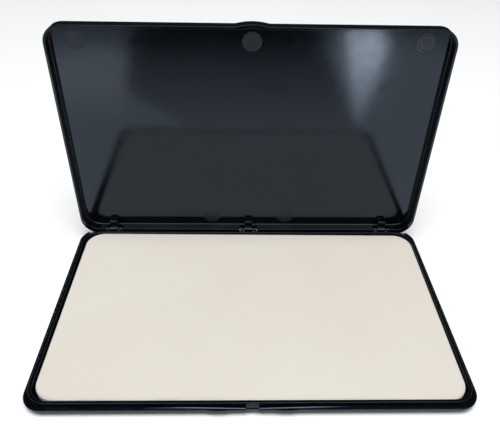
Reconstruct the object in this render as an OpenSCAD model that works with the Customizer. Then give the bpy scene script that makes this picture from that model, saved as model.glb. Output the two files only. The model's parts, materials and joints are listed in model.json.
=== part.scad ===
// Wet palette in a hinged case: a shallow moulded base and lid, a water-holding sponge
// and the sheet of palette paper that lies on it. The case is drawn open.
// Origin: centre of the shut case's footprint, on its underside.
// +X to the right, +Y towards the hinges, +Z up. Millimetres.

/* [Case] */
// Width of the base over its lip
case_w = 250; // [200:5:300]
// Depth of the shut case, front face to back face
case_d = 156; // [130:2:200]
// Radius of the case's two front corners
front_r = 12; // [10:0.5:14]
// Radius of the case's two back corners
back_r = 13.5; // [12:0.5:15]

/* [Base] */
// Height of the raised wall round the sponge
wall_top = 8; // [7.8:0.1:8.6]
// Thickness of the raised wall
wall_t = 1.8; // [1.4:0.1:2]
// Thickness of the base's floor
floor_t = 1.6; // [1.2:0.1:1.8]
// Reach of the flange beyond the raised wall
flange_w = 2.5; // [2.4:0.1:3]
// Height of the flange's underside
flange_z = 3; // [2.6:0.1:3.2]
// Height of the lip's top, where the lid's rim comes down
lip_z = 5; // [4.9:0.1:5.2]

/* [Lid] */
// Thickness of the lid's side walls
lid_wall = 1.6; // [1.4:0.1:1.7]
// Thickness of the lid's back wall, which the hinges are set into
back_wall = 3.9; // [3.4:0.1:4.1]
// Depth of the lid's hollow, from its rim
lid_depth = 6.8; // [6.4:0.2:10]
// Thickness of the lid's flat panel
panel_t = 1.7; // [1.2:0.1:2.5]
// How far the lid's faces stand in from the base's
lid_inset = 0.5; // [0.3:0.1:0.5]
// How far the thumb lip stands out at the middle of the lid's front
thumb_rise = 1.35; // [0.6:0.05:2]

/* [Hinges] */
// From the base's side to the middle of each outer hinge
hinge_in = 23.5; // [23:0.5:60]
// Depth kept behind the raised wall for the hinges
hinge_room = 5.9; // [5.7:0.1:6.1]
// Width of the lid's hook on each pin
hook_w = 6; // [4:0.5:7]

/* [Palette] */
// Thickness of the sponge
sponge_t = 5.2; // [3:0.2:5.6]
// Thickness of the palette paper
paper_t = 0.2; // [0.1:0.05:0.4]

/* [Hidden] */
$fn = 96;
fuse = 0.4;                    // overlap where two shapes join into one solid
run_gap = 0.3;                 // room left between the lid and the base

front_y = -case_d / 2;
back_y = case_d / 2;
wall_w = case_w - 2 * flange_w;
wall_front = front_y + flange_w;
wall_back = back_y - hinge_room;
tray_d = wall_back - wall_front;
tray_y = (wall_back + wall_front) / 2;
flange_t = 1.2;
lip_t = 1.1;
flange_end = wall_back + 2;    // the lip's two tips stop here at the back corners
tip_in = 5.75;                 // from the base's side to the inner face of a tip

lid_w = case_w - 2 * lid_inset;
lid_d = case_d - 2 * lid_inset;
rim_z = lip_z + run_gap;       // the shut lid's rim
panel_z = rim_z + lid_depth;
lid_top = panel_z + panel_t;

hinge_y = back_y - 2.85;
hinge_z = lip_z + 2.05;
open_low = hinge_z - (lid_d / 2 - hinge_y);    // the upright lid's lowest face
outer_hinge = case_w / 2 - hinge_in;
hinge_at = [-outer_hinge, 0, outer_hinge];

pin_r = 1.1;
pin_gap = 0.06;                // running clearance round each pin
hook_t = 0.8;
hook_r = pin_r + pin_gap + hook_t;
hook_mouth = 1.7 * pin_r;      // the hook snaps on through this mouth
ear_t = 1.5;
ear_gap = 9.2;                 // clear width between a hinge's two ears
ear_r = 1.9;
heel_len = 4.6;                // from the pin to the end of an ear's heel
notch_w = 13.2;
notch_h = 5.2;
gusset_w = 5.4;
gusset_d = panel_z - wall_top - run_gap;
gusset_h = 5.6;

grip_x = 18.5;                 // the base's two finger grips
grip_w = 14;
grip_rise = 0.5;
thumb_w = 20.6;
catch_w = 7.2;
catch_notch_w = 6.8;
catch_notch_d = 0.6;
catch_run = 1.15;              // the ramp's slope, front to back
relief_w = 8.8;
mark_r = 6.2;                  // round marks of the mould's ejector pins, inside the lid
mark_deep = 0.15;
front_mark_x = case_w / 2 - 17.8;
front_mark_in = 11;            // from the lid's front face to the front marks' centres
back_mark_x = 27.6;
back_mark_in = 12;             // from the lid's back face to the back marks' centres

pad_gap = 0.3;
paper_inset = 1.2;

// A rectangle with the case's round corners, less `trim` on their radii.
module plate(w, d, trim = 0) {
    fr = front_r - trim;
    br = back_r - trim;
    x = w / 2;
    y = d / 2;
    polygon([
        [-x + fr, -y], [x - fr, -y], [x, -y + fr], [x, y - br],
        [x - br, y], [-x + br, y], [-x, y - br], [-x, -y + fr]
    ]);
    for (side = [-1, 1]) {
        translate([side * (x - fr), -y + fr]) circle(fr);
        translate([side * (x - br), y - br]) circle(br);
    }
}

// A shallow arc that stands out of a front face by `rise` over the width `chord`.
module front_bulge(face_y, x, chord, rise) {
    arc_r = (chord * chord / 4 + rise * rise) / (2 * rise);
    intersection() {
        translate([x, face_y - rise + arc_r]) circle(arc_r, $fn = 200);
        translate([x - chord / 2 - fuse, face_y - rise - fuse])
            square([chord + 2 * fuse, rise + 2 * fuse]);
    }
}

module flange_outline() {
    tips_apart = case_w - 2 * tip_in;
    difference() {
        union() {
            plate(case_w, case_d);
            for (side = [-1, 1]) front_bulge(front_y, side * grip_x, grip_w, grip_rise);
        }
        translate([-case_w, flange_end]) square([2 * case_w, case_d]);
        translate([-tips_apart / 2, wall_back - 1]) square([tips_apart, case_d]);
        translate([-catch_notch_w / 2, front_y - 1]) square([catch_notch_w, 1 + catch_notch_d]);
    }
}

// The flange stands out round the raised wall and turns up into the lip at its edge.
module flange() {
    difference() {
        translate([0, 0, flange_z]) linear_extrude(lip_z - flange_z) flange_outline();
        translate([0, 0, flange_z + flange_t]) linear_extrude(lip_z)
            plate(case_w - 2 * lip_t, case_d - 2 * lip_t, lip_t);
    }
}

module wall_outline() {
    translate([0, tray_y]) plate(wall_w, tray_d);
}

// Draws a Y-Z outline as a bar of width w, centred on X.
module bar(w) {
    rotate([90, 0, 90]) linear_extrude(w, center = true) children();
}

// The catch: a ramp across the channel at the middle of the front.
module catch_ramp() {
    channel_z = flange_z + flange_t;
    bar(catch_w)
        polygon([
            [wall_front + fuse, channel_z - fuse],
            [wall_front - catch_run, channel_z - fuse],
            [wall_front - catch_run, lip_z + 0.1],
            [wall_front - 0.05, wall_top - 0.4],
            [wall_front + fuse, wall_top - 0.4]
        ]);
}

// One ear's outline in the Y-Z plane: a boss round the pin, a web to the wall and a heel
// behind the pin that carries the upright lid.
module ear_outline() {
    translate([hinge_y, hinge_z]) circle(ear_r);
    translate([wall_back - fuse, flange_z])
        square([hinge_y + ear_r - wall_back + fuse, hinge_z - flange_z]);
    translate([hinge_y, flange_z]) square([heel_len, open_low - run_gap - flange_z]);
}

module hinge_ears(x) {
    for (side = [-1, 1])
        translate([x + side * (ear_gap + ear_t) / 2, 0, 0]) bar(ear_t) ear_outline();
    translate([x, hinge_y, hinge_z]) rotate([0, 90, 0])
        cylinder(h = ear_gap + ear_t, r = pin_r, center = true);
}

module case_base() {
    color([0.05, 0.055, 0.065])
    difference() {
        union() {
            linear_extrude(wall_top) wall_outline();
            flange();
            catch_ramp();
            for (x = hinge_at) hinge_ears(x);
        }
        translate([0, tray_y, floor_t]) linear_extrude(wall_top)
            plate(wall_w - 2 * wall_t, tray_d - 2 * wall_t, wall_t);
    }
}

// Turns what is drawn shut to its upright place.
module opened() {
    translate([0, hinge_y, hinge_z]) rotate([-90, 0, 0])
        translate([0, -hinge_y, -hinge_z]) children();
}

module lid_outline() {
    plate(lid_w, lid_d, lid_inset);
    front_bulge(-lid_d / 2, 0, thumb_w, thumb_rise);
}

module round_mark(x, y) {
    translate([x, y, panel_z - 1]) cylinder(h = 1 + mark_deep, r = mark_r);
}

// The gap in the lid's back wall that lets a hinge's ears through.
module hinge_notch(x) {
    translate([x - notch_w / 2, lid_d / 2 - back_wall - 1, rim_z - 1])
        cube([notch_w, back_wall + 2, notch_h + 1]);
}

// The slope cut into the rim at the middle of the front, clear of the base's ramp.
module catch_relief() {
    gap = run_gap + 0.1;
    bar(relief_w)
        polygon([
            [wall_front - catch_run - gap, rim_z - 1],
            [wall_front - catch_run - gap, lip_z + 0.1],
            [wall_front - 0.05 - gap, wall_top - 0.4],
            [wall_front + 1, wall_top - 0.4],
            [wall_front + 1, rim_z - 1]
        ]);
}

// The hook that turns on the pin, with its arm up into the lid's back wall and the gusset
// that stiffens it inside. Its mouth opens towards the rim.
module hinge_hook(x) {
    wall_in = lid_d / 2 - back_wall;
    arm_h = rim_z + notch_h + fuse - hinge_z;
    difference() {
        union() {
            translate([x, hinge_y, hinge_z]) rotate([0, 90, 0])
                cylinder(h = hook_w, r = hook_r, center = true);
            translate([x - hook_w / 2, hinge_y - hook_r, hinge_z])
                cube([hook_w, 2 * hook_r, arm_h]);
        }
        translate([x, hinge_y, hinge_z]) rotate([0, 90, 0])
            cylinder(h = hook_w + 1, r = pin_r + pin_gap, center = true);
        translate([x - hook_w / 2 - 1, hinge_y - hook_mouth / 2, hinge_z - 2 * hook_r])
            cube([hook_w + 2, hook_mouth, 2 * hook_r]);
    }
    translate([x - gusset_w / 2, wall_in - gusset_h, panel_z - gusset_d])
        cube([gusset_w, gusset_h + fuse, gusset_d + fuse]);
}

module case_lid() {
    color([0.04, 0.05, 0.065])
    opened() {
        difference() {
            translate([0, 0, rim_z]) linear_extrude(lid_top - rim_z) lid_outline();
            translate([0, (lid_wall - back_wall) / 2, rim_z - 1]) linear_extrude(lid_depth + 1)
                plate(lid_w - 2 * lid_wall, lid_d - lid_wall - back_wall, lid_inset + lid_wall);
            for (x = [-front_mark_x, 0, front_mark_x]) round_mark(x, front_mark_in - lid_d / 2);
            for (x = [-back_mark_x, back_mark_x]) round_mark(x, lid_d / 2 - back_mark_in);
            for (x = hinge_at) hinge_notch(x);
            catch_relief();
        }
        for (x = hinge_at) hinge_hook(x);
    }
}

module sponge() {
    edge = wall_t + pad_gap;
    color([0.93, 0.9, 0.84])
    translate([0, tray_y, floor_t]) linear_extrude(sponge_t)
        plate(wall_w - 2 * edge, tray_d - 2 * edge, edge);
}

module palette_paper() {
    edge = wall_t + pad_gap + paper_inset;
    color([0.9, 0.87, 0.8])
    translate([0, tray_y, floor_t + sponge_t]) linear_extrude(paper_t)
        plate(wall_w - 2 * edge, tray_d - 2 * edge, wall_t);
}

case_base();
case_lid();
sponge();
palette_paper();
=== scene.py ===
"""Looks of the wet palette, which stands open on a pale floor.

Metres, in the part's own frame: +X to the right, +Y towards the hinges, +Z up.
"""

import json
import math

import bmesh
import bpy
from mathutils import Matrix, Vector, noise


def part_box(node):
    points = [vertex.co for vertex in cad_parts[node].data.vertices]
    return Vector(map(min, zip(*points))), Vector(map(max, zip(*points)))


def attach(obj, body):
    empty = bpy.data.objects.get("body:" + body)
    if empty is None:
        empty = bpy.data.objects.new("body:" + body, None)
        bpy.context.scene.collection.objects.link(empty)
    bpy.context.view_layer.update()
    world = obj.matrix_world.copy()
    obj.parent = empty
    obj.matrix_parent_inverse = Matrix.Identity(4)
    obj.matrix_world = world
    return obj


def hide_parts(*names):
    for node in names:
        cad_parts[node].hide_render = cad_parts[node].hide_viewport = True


MM = 0.001

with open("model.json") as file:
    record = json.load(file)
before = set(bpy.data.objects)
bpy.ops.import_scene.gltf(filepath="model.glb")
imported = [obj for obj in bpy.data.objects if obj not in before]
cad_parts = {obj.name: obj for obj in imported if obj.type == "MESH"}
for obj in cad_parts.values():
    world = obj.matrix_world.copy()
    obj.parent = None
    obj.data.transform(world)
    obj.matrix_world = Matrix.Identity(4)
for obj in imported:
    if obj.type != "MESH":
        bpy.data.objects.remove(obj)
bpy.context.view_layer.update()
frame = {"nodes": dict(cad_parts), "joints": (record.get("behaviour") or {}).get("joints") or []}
nodes = frame["nodes"]
base_low, base_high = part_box("case_base")
lid_low, lid_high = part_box("case_lid")
sponge_low, sponge_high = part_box("sponge")
paper_low, paper_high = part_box("palette_paper")
hinge_y, hinge_z = frame["joints"][0]["pos_m"][1:]

# Sizes that the boxes don't give.
HINGE_IN = 23.5 * MM  # from the base's side to the middle of an outer hinge
HINGE_REACH = 9.5 * MM  # holds a hinge and its notch, from the hinge's middle
HINGE_BODY = 3 * MM  # how far a hinge's hook and ears stand from its axis
CATCH_REACH = 5 * MM
PANEL_THICK = 1.7 * MM
BACK_WALL = 3.9 * MM  # thickness of the lid's back wall
FRONT_MARK_IN = 17.8 * MM  # from the base's side to an outer front mark
BACK_MARK_X = 27.6 * MM
MARK_RADIUS = 6.2 * MM
MARK_DEEP = 0.15 * MM
# Rings in a mark, from its rim inwards: how wide each is, and how far it steps up or down.
MARK_STEPS = [(width * MM, rise * MM) for width, rise in (
    (1.0, 0), (0.3, 0.1), (0.4, 0), (0.3, -0.1), (1.1, 0), (0.3, 0.08), (0.3, 0), (0.3, -0.08),
)]
CUT_X = 60 * MM  # any place clear of the hinges
ON_PLANE = 0.01 * MM
EDGE_ROUND = 0.3 * MM
SMALL_ROUND = 0.12 * MM  # at the hinges and the catch
MARK_ROUND = 0.04 * MM
BACK_ROUND = 1.4 * MM  # round the outside of the lid's panel
FILLET = 0.8 * MM  # where the lid's walls meet its panel
SHARP_TURN = math.radians(30)
PAD_GAP_X = 0.8 * MM  # the shown pad is smaller than its solid by this on each side
PAD_GAP_Y = 0.4 * MM
PAD_CORNER = 12 * MM
PAD_SOFT = 0.7 * MM  # how far the pad's edges are rounded
PAD_SINK = 0.04 * MM  # leaves room for the paper's ripple
PAD_RINGS = 10
PAD_RIGHT = 0.45 * MM
PAD_TURN = math.radians(-0.3)
PAPER_INSET = 1.2 * MM
PAPER_RINGS = 24
PAPER_RIPPLE = 0.08 * MM
RIPPLES_PER_METRE = 25
FLOOR_REACH = 12

X_AXIS, Y_AXIS, Z_AXIS = (Vector(axis) for axis in ((1, 0, 0), (0, 1, 0), (0, 0, 1)))
panel_face = lid_high[1] - PANEL_THICK
front_mark_x = base_high[0] - FRONT_MARK_IN
outer_hinge = base_high[0] - HINGE_IN
hinge_places = [-outer_hinge, 0, outer_hinge]
pad_w = sponge_high[0] - sponge_low[0] - 2 * PAD_GAP_X
pad_d = sponge_high[1] - sponge_low[1] - 2 * PAD_GAP_Y


# ---------------------------------------------------------------- camera

def make_camera():
    """A camera in front of the case, a little to its left, that looks down on it."""
    data = bpy.data.cameras.new("camera")
    data.sensor_width = 36
    data.lens = 38.49
    data.clip_start = 0.01
    camera = bpy.data.objects.new("camera", data)
    bpy.context.scene.collection.objects.link(camera)
    turn_right = 0.0314
    look_down = 0.6466
    tilt = 0.0230
    place = Matrix.Translation((-9.0 * MM, -243.9 * MM, 259.5 * MM))
    aim = Matrix.Rotation(-turn_right, 4, "Z") @ Matrix.Rotation(math.pi / 2 - look_down, 4, "X")
    camera.matrix_world = place @ aim @ Matrix.Rotation(tilt, 4, "Z")
    bpy.context.scene.camera = camera


# ---------------------------------------------------------------- node helpers

def new_material(name):
    material = bpy.data.materials.new(name)
    material.use_nodes = True
    tree = material.node_tree
    return material, tree, tree.nodes["Principled BSDF"]


def add(tree, kind, **values):
    """A new node with its named inputs set; an underscore in a name stands for a space."""
    node = tree.nodes.new("ShaderNode" + kind)
    for name, value in values.items():
        node.inputs[name.replace("_", " ")].default_value = value
    return node


def mesh_place(tree):
    return add(tree, "TexCoord").outputs["Object"]


def noise_at(tree, place, scale, detail=3.0, distortion=0.0, stretch=None):
    """A noise value over the piece, about 1 / scale metres to a blotch."""
    if stretch is not None:
        squeeze = add(tree, "Mapping", Scale=stretch)
        tree.links.new(place, squeeze.inputs["Vector"])
        place = squeeze.outputs["Vector"]
    node = add(tree, "TexNoise", Scale=scale, Detail=detail, Distortion=distortion)
    tree.links.new(place, node.inputs["Vector"])
    return node.outputs["Fac"]


def between(tree, value, low, high, start=0.35, end=0.65):
    """The value from start to end, mapped to the numbers from low to high."""
    node = add(tree, "MapRange")
    node.inputs["From Min"].default_value = start
    node.inputs["From Max"].default_value = end
    node.inputs["To Min"].default_value = low
    node.inputs["To Max"].default_value = high
    tree.links.new(value, node.inputs["Value"])
    return node.outputs["Result"]


def blend_colours(tree, value, first, second, start=0.35, end=0.65):
    ramp = tree.nodes.new("ShaderNodeValToRGB")
    ramp.color_ramp.elements[0].position = start
    ramp.color_ramp.elements[0].color = (*first, 1)
    ramp.color_ramp.elements[1].position = end
    ramp.color_ramp.elements[1].color = (*second, 1)
    tree.links.new(value, ramp.inputs["Fac"])
    return ramp.outputs["Color"]


def bump(tree, heights, shader):
    """Chains bumps, each of (height value, depth in metres, strength), into the normal."""
    normal = None
    for height, depth, strength in heights:
        node = add(tree, "Bump", Strength=strength, Distance=depth)
        tree.links.new(height, node.inputs["Height"])
        if normal is not None:
            tree.links.new(normal, node.inputs["Normal"])
        normal = node.outputs["Normal"]
    tree.links.new(normal, shader.inputs["Normal"])


# ---------------------------------------------------------------- materials

def case_plastic(name, colours, roughness, shine, tint):
    """Moulded plastic: a glossy skin with faint flow marks, ripples and a fine grain."""
    material, tree, shader = new_material(name)
    place = mesh_place(tree)
    flow = noise_at(tree, place, 22, 4, 0.8, stretch=(1.0, 1.0, 0.35))
    haze = noise_at(tree, place, 160, 5)
    grain = noise_at(tree, place, 1900, 2)
    ripple = noise_at(tree, place, 34, 1, stretch=(1.0, 1.0, 0.5))
    tree.links.new(blend_colours(tree, flow, *colours), shader.inputs["Base Color"])
    tree.links.new(between(tree, haze, *roughness), shader.inputs["Roughness"])
    shader.inputs["Specular Tint"].default_value = (*tint, 1)
    shader.inputs["Specular IOR Level"].default_value = shine
    bump(tree, [(ripple, 0.12 * MM, 0.35), (grain, 0.02 * MM, 0.35)], shader)
    return material


def palette_paper():
    """Damp palette paper: cream, matt, with faint fibres and slow changes of tone."""
    material, tree, shader = new_material("damp_palette_paper")
    place = mesh_place(tree)
    tone = noise_at(tree, place, 9, 3, 0.6)
    fibre = noise_at(tree, place, 1100, 4, 1.2, stretch=(1.0, 0.35, 1.0))
    damp = noise_at(tree, place, 30, 3)
    colour = blend_colours(tree, tone, (0.64, 0.595, 0.525), (0.665, 0.625, 0.56))
    tree.links.new(colour, shader.inputs["Base Color"])
    tree.links.new(between(tree, damp, 0.62, 0.8), shader.inputs["Roughness"])
    shader.inputs["Specular IOR Level"].default_value = 0.3
    bump(tree, [(fibre, 0.03 * MM, 0.35)], shader)
    return material


def sponge_foam():
    """Fine white foam with open pores."""
    material, tree, shader = new_material("sponge_foam")
    place = mesh_place(tree)
    pores = add(tree, "TexVoronoi", Scale=1400)
    tree.links.new(place, pores.inputs["Vector"])
    pore = pores.outputs["Distance"]
    tone = noise_at(tree, place, 60, 4)
    colour = blend_colours(tree, tone, (0.58, 0.565, 0.52), (0.66, 0.65, 0.61))
    tree.links.new(colour, shader.inputs["Base Color"])
    tree.links.new(between(tree, pore, 0.95, 0.8, 0.1, 0.6), shader.inputs["Roughness"])
    shader.inputs["Specular IOR Level"].default_value = 0.25
    bump(tree, [(pore, 0.15 * MM, 0.6)], shader)
    return material


# ---------------------------------------------------------------- case

def new_piece(name, bm, *materials):
    mesh = bpy.data.meshes.new(name)
    for face in bm.faces:
        face.smooth = True
    bm.to_mesh(mesh)
    bm.free()
    piece = bpy.data.objects.new(name, mesh)
    bpy.context.scene.collection.objects.link(piece)
    for material in materials:
        mesh.materials.append(material)
    return piece


def cleaned(node, cuts):
    """A CAD node's mesh with whole flat faces, parted at the cuts so that none is a ring."""
    bm = bmesh.new()
    bm.from_mesh(nodes[node].data)
    bmesh.ops.remove_doubles(bm, verts=bm.verts, dist=0.001 * MM)
    for axis, place in cuts:
        everything = bm.verts[:] + bm.edges[:] + bm.faces[:]
        done = bmesh.ops.bisect_plane(
            bm, geom=everything, dist=0.001 * MM, plane_co=place * axis, plane_no=axis,
        )
        for part in done["geom_cut"]:
            if isinstance(part, bmesh.types.BMEdge):
                part.seam = True
    bmesh.ops.dissolve_degenerate(bm, dist=0.005 * MM, edges=bm.edges)
    bmesh.ops.dissolve_limit(
        bm, angle_limit=math.radians(0.5), verts=bm.verts, edges=bm.edges, delimit={"SEAM"},
    )
    return bm


def near_hinge(point, reach):
    if math.hypot(point.y - hinge_y, point.z - hinge_z) > reach:
        return False
    return min(abs(point.x - x) for x in hinge_places) < HINGE_REACH


def in_fine_place(point):
    """True at the hinges and at the catch, where the shapes are small."""
    at_catch = point.y < base_low[1] + CATCH_REACH or point.z > lid_high[2] - CATCH_REACH
    return near_hinge(point, HINGE_REACH) or (abs(point.x) < CATCH_REACH and at_catch)


def lies_flat(part, axis, place):
    """True if the whole face or edge lies where that axis (0, 1 or 2) has the given value."""
    return all(abs(vert.co[axis] - place) < ON_PLANE for vert in part.verts)


def is_sharp(edge):
    return edge.is_manifold and edge.calc_face_angle(0) > SHARP_TURN


def is_hollow(edge):
    return edge.calc_face_angle_signed(0) < 0


def slimness(face):
    return face.calc_area() / max(edge.calc_length() for edge in face.edges)


def rounding_of(edge, fillet, marks):
    """The radius that would suit one sharp edge by itself."""
    middle = (edge.verts[0].co + edge.verts[1].co) / 2
    if lies_flat(edge, 1, lid_high[1]):
        return BACK_ROUND
    if any((middle - mark).length < MARK_RADIUS + 0.5 * MM for mark in marks):
        return MARK_ROUND
    if in_fine_place(middle):
        return min(SMALL_ROUND, min(slimness(face) for face in edge.link_faces) / 3)
    return fillet if is_hollow(edge) else EDGE_ROUND


def outward(edge, vert):
    return (edge.other_vert(vert).co - vert.co).normalized()


def smooth_runs(edges):
    """Groups edges that carry on from one another without a corner."""
    left = set(edges)
    for first in edges:
        if first not in left:
            continue
        left.discard(first)
        run = [first]
        for edge in run:
            for vert in edge.verts:
                for other in vert.link_edges:
                    if other in left and outward(edge, vert).dot(outward(other, vert)) < -0.9:
                        left.discard(other)
                        run.append(other)
        yield run


def round_case_part(node, bm, body, fillet, materials, marks=()):
    """The piece that stands for a moulded node. A bevel rounds each run of edges evenly.

    Its second material goes on the bevels and on the hinges' small parts: rubbed plastic whose
    lighter colour along the edges and fillets is partly a painted highlight.
    """
    for face in bm.faces:
        if near_hinge(face.calc_center_median(), HINGE_BODY):
            face.material_index = 1
    weight = bm.edges.layers.float.new("bevel_weight_edge")
    for run in smooth_runs([edge for edge in bm.edges if is_sharp(edge)]):
        radius = max(rounding_of(edge, fillet, marks) for edge in run)
        for edge in run:
            edge[weight] = radius / BACK_ROUND
            edge.smooth = radius > 0
    piece = new_piece(node + "_shape", bm, *materials)
    bevel = piece.modifiers.new("rounded_edges", "BEVEL")
    bevel.limit_method = "WEIGHT"
    bevel.width = BACK_ROUND
    bevel.segments = 4
    bevel.use_clamp_overlap = False
    # The bevels take the second material; its lighter colour paints a highlight along every
    # rounded edge, hollow fillets too.
    bevel.material = 1
    piece.modifiers.new("even_normals", "WEIGHTED_NORMAL").keep_sharp = True
    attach(piece, body)
    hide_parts(node)


def make_base(plastic, wear_and_painted_highlight):
    cuts = [(X_AXIS, x) for x in (-CUT_X, 0, CUT_X)] + [(Y_AXIS, 0)]
    round_case_part("case_base", cleaned("case_base", cuts), "base", 0, [plastic, wear_and_painted_highlight])


def make_lid(plastic, wear_and_painted_highlight, matt_and_painted_light):
    """The lid: matt outside and on its back wall, with the rings that ejector pins leave. The
    matt material's lighter colour on the back wall's upward face is painted light on that ledge.
    """
    mark_places = (-front_mark_x, -BACK_MARK_X, 0, BACK_MARK_X, front_mark_x)
    cuts = [(X_AXIS, x) for x in mark_places] + [(Z_AXIS, (lid_low[2] + lid_high[2]) / 2)]
    bm = cleaned("case_lid", cuts)
    mark_floor = panel_face + MARK_DEEP
    halving = [edge for edge in bm.edges if edge.seam and lies_flat(edge, 1, mark_floor)]
    bmesh.ops.dissolve_edges(bm, edges=halving, use_verts=True)
    discs = [face for face in bm.faces if lies_flat(face, 1, mark_floor)]
    centres = [disc.calc_center_median() for disc in discs]
    back_wall_face = lid_low[2] + BACK_WALL
    # The back wall's upward face takes the lighter matt material, which paints the light that
    # falls on that ledge.
    for face in bm.faces:
        if lies_flat(face, 1, lid_high[1]) or lies_flat(face, 2, back_wall_face):
            face.material_index = 2
    for disc in discs:
        disc.material_index = 2
        for width, rise in MARK_STEPS:
            bmesh.ops.inset_individual(bm, faces=[disc], thickness=width, depth=rise)
    round_case_part("case_lid", bm, "lid", FILLET, [plastic, wear_and_painted_highlight, matt_and_painted_light], centres)


# ---------------------------------------------------------------- sponge and paper

def rounded_outline(width, depth, corner, gap=4 * MM, steps=12):
    """Points round a rectangle with round corners, no further apart than the gap."""
    bends = []
    for quarter, (side_x, side_y) in enumerate(((1, -1), (1, 1), (-1, 1), (-1, -1))):
        middle = Vector((side_x * (width / 2 - corner), side_y * (depth / 2 - corner)))
        for step in range(steps + 1):
            angle = math.pi / 2 * (quarter - 1 + step / steps)
            bends.append(middle + corner * Vector((math.cos(angle), math.sin(angle))))
    points = []
    for here, there in zip(bends, bends[1:] + bends[:1]):
        parts = max(1, math.ceil((there - here).length / gap))
        points += [here.lerp(there, part / parts) for part in range(parts)]
    return points


def add_ring(bm, outline, share, height, ripple):
    """The outline shrunk to a share of its size, at a height that ripples a little."""
    ring = []
    for point in outline:
        x, y = point * share
        wave = noise.noise(Vector((x, y, height)) * RIPPLES_PER_METRE)
        ring.append(bm.verts.new((x, y, height + ripple * wave)))
    return ring


def skin(bm, rings):
    """Faces from each ring to the next, and one to close the last."""
    for first, second in zip(rings, rings[1:]):
        for k in range(len(first)):
            after = (k + 1) % len(first)
            bm.faces.new((first[k], first[after], second[after], second[k]))
    bm.faces.new(rings[-1])


def lay_in_base(piece):
    """Puts a piece drawn round the origin where the pad lies: a little right, slightly turned."""
    middle_x = (sponge_low[0] + sponge_high[0]) / 2 + PAD_RIGHT
    middle_y = (sponge_low[1] + sponge_high[1]) / 2
    piece.data.transform(
        Matrix.Translation((middle_x, middle_y, 0)) @ Matrix.Rotation(PAD_TURN, 4, "Z")
    )


def make_sponge(foam):
    """The foam pad: flat, with soft edges and open pores."""
    outline = rounded_outline(pad_w, pad_d, PAD_CORNER)
    low, high = sponge_low[2], sponge_high[2] - PAD_SINK
    nearly = PAD_SOFT * (1 - math.sin(math.pi / 4))
    rising = [(PAD_SOFT, low), (nearly, low + nearly), (0, low + PAD_SOFT)]
    falling = [(inset, low + high - height) for inset, height in reversed(rising)]
    bm = bmesh.new()
    rings = [
        add_ring(bm, outline, 1 - 2 * inset / pad_w, height, 0)
        for inset, height in rising + falling
    ]
    shares = [share / PAD_RINGS for share in range(PAD_RINGS - 1, 0, -1)]
    rings += [add_ring(bm, outline, share, high, 0) for share in shares]
    bm.faces.new(reversed(rings[0]))
    skin(bm, rings)
    piece = new_piece("sponge_pad", bm, foam)
    lay_in_base(piece)
    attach(piece, "base")
    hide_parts("sponge")
    return piece


def make_paper(paper):
    """The sheet laid on the sponge, damp and flat but for a faint ripple."""
    width, depth = pad_w - 2 * PAPER_INSET, pad_d - 2 * PAPER_INSET
    corner = PAD_CORNER - PAPER_INSET
    outline = rounded_outline(width, depth, corner)
    height = (paper_low[2] + paper_high[2]) / 2
    bm = bmesh.new()
    shares = [share / PAPER_RINGS for share in range(PAPER_RINGS, 0, -1)]
    skin(bm, [add_ring(bm, outline, share, height, PAPER_RIPPLE) for share in shares])
    piece = new_piece("palette_paper_sheet", bm, paper)
    lay_in_base(piece)
    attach(piece, "base")
    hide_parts("palette_paper")


# ---------------------------------------------------------------- stage

def area_light(name, at, look_at, size, power, colour=(1, 1, 1)):
    data = bpy.data.lights.new(name, "AREA")
    data.shape = "RECTANGLE"
    data.size, data.size_y = size
    data.energy = power
    data.color = colour
    light = bpy.data.objects.new(name, data)
    bpy.context.scene.collection.objects.link(light)
    light.location = at
    light.rotation_euler = (Vector(look_at) - Vector(at)).to_track_quat("-Z", "Y").to_euler()


def stage_sheet(name, corners, material):
    mesh = bpy.data.meshes.new(name)
    mesh.from_pydata(corners, [], [tuple(range(len(corners)))])
    mesh.materials.append(material)
    sheet = bpy.data.objects.new(name, mesh)
    bpy.context.scene.collection.objects.link(sheet)
    return sheet


def make_floor():
    material, tree, shader = new_material("pale_floor")
    shader.inputs["Base Color"].default_value = (0.9, 0.9, 0.9, 1)
    shader.inputs["Roughness"].default_value = 0.9
    shader.inputs["Specular IOR Level"].default_value = 0.1
    sides = ((-1, -1), (1, -1), (1, 1), (-1, 1))
    stage_sheet("floor", [(x * FLOOR_REACH, y * FLOOR_REACH, 0) for x, y in sides], material)


def reflected_card(name, corners, colour, power, soft_y):
    """A card that only reflections see. It fades in along Y, over soft_y (from, to)."""
    material, tree, shader = new_material(name)
    tree.nodes.remove(shader)
    place = add(tree, "SeparateXYZ")
    tree.links.new(mesh_place(tree), place.inputs["Vector"])
    fade = between(tree, place.outputs["Y"], 0, 1, *soft_y)
    glow = add(tree, "Emission", Color=(*colour, 1), Strength=power)
    clear = add(tree, "BsdfTransparent")
    mix = add(tree, "MixShader")
    tree.links.new(fade, mix.inputs["Fac"])
    tree.links.new(clear.outputs["BSDF"], mix.inputs[1])
    tree.links.new(glow.outputs["Emission"], mix.inputs[2])
    tree.links.new(mix.outputs["Shader"], tree.nodes["Material Output"].inputs["Surface"])
    card = stage_sheet(name, corners, material)
    card.visible_camera = False
    card.visible_diffuse = False
    card.visible_shadow = False
    card.visible_transmission = False


def floor_card(name, height, corners, colour, power, soft):
    """A card just over the floor. Its places are in mm, from the middle of the base's front."""
    front = base_low[1]
    places = [(x * MM, front + y * MM, height * MM) for x, y in corners]
    reflected_card(name, places, colour, power, [front + y * MM for y in soft])


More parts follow.
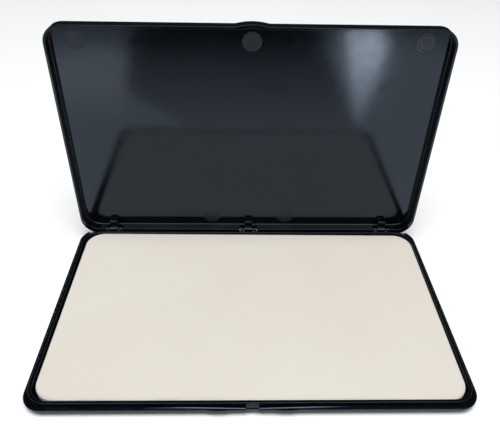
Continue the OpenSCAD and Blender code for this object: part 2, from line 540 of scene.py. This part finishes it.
def make_cards():
    """What the plastic mirrors: things in front of the case, and a dark room behind it."""
    flag = [(-60, -17), (115, -17), (115, -620), (-165, -620), (-165, -130)]
    floor_card("dark_flag", 1, flag, (0.6, 0.8, 1.0), 0.04, (120, -300))
    window = [(114, -25), (122, -25), (205, -270), (205, -340), (158, -340)]
    floor_card("window", 2, window, (1.0, 0.98, 1.0), 7.5, (-10, -230))
    table = [(-300, -10), (-125, -10), (-155, -230), (-225, -230)]
    floor_card("bright_table", 2, table, (1.0, 0.97, 0.93), 1.6, (-20, -120))
    far = [(-450, -230), (450, -230), (450, -700), (-450, -700)]
    floor_card("far_shade", 0.5, far, (0.85, 0.95, 1.0), 0.45, (-230, -330))
    behind = [(-2.5, 1.2, 0.0), (2.5, 1.2, 0.0), (2.5, 1.2, 3.0), (-2.5, 1.2, 3.0)]
    reflected_card("dark_room", behind, (0.8, 0.9, 1.0), 0.03, (0, 1))


def make_world():
    """A dim, slightly blue room."""
    world = bpy.data.worlds.new("studio")
    world.use_nodes = True
    world.node_tree.nodes["Background"].inputs["Color"].default_value = (0.9, 0.95, 1, 1)
    world.node_tree.nodes["Background"].inputs["Strength"].default_value = 0.22
    bpy.context.scene.world = world


bpy.context.scene.view_settings.view_transform = "Standard"
make_camera()
make_world()
make_floor()
make_cards()
area_light("ceiling", (0, -0.5, 2.4), (0, 0, 0), (2.2, 1.8), 76)

plastic = case_plastic(
    "moulded_plastic",
    colours=((0.0006, 0.0014, 0.0026), (0.0012, 0.0022, 0.004)),
    roughness=(0.09, 0.13),
    shine=0.62,
    tint=(0.66, 0.8, 1.0),
)
# Rubbed plastic for the bevels and the hinges: rougher and duller, and lighter in colour, which
# is partly a painted highlight on the edges.
wear_and_painted_highlight = case_plastic(
    "edge_wear_and_painted_highlight",
    colours=((0.0015, 0.002, 0.0028), (0.008, 0.009, 0.01)),
    roughness=(0.2, 0.32),
    shine=0.25,
    tint=(0.85, 0.92, 1.0),
)
# Matt plastic, lighter than the gloss: a duller skin on the lid's outside and its marks, and
# painted light on the back wall's upward face.
matt_and_painted_light = case_plastic(
    "matt_plastic_painted_light",
    colours=((0.005, 0.007, 0.009), (0.0075, 0.01, 0.0125)),
    roughness=(0.3, 0.42),
    shine=0.6,
    tint=(0.72, 0.84, 1.0),
)
make_base(plastic, wear_and_painted_highlight)
make_lid(plastic, wear_and_painted_highlight, matt_and_painted_light)
sponge = make_sponge(sponge_foam())
make_paper(palette_paper())
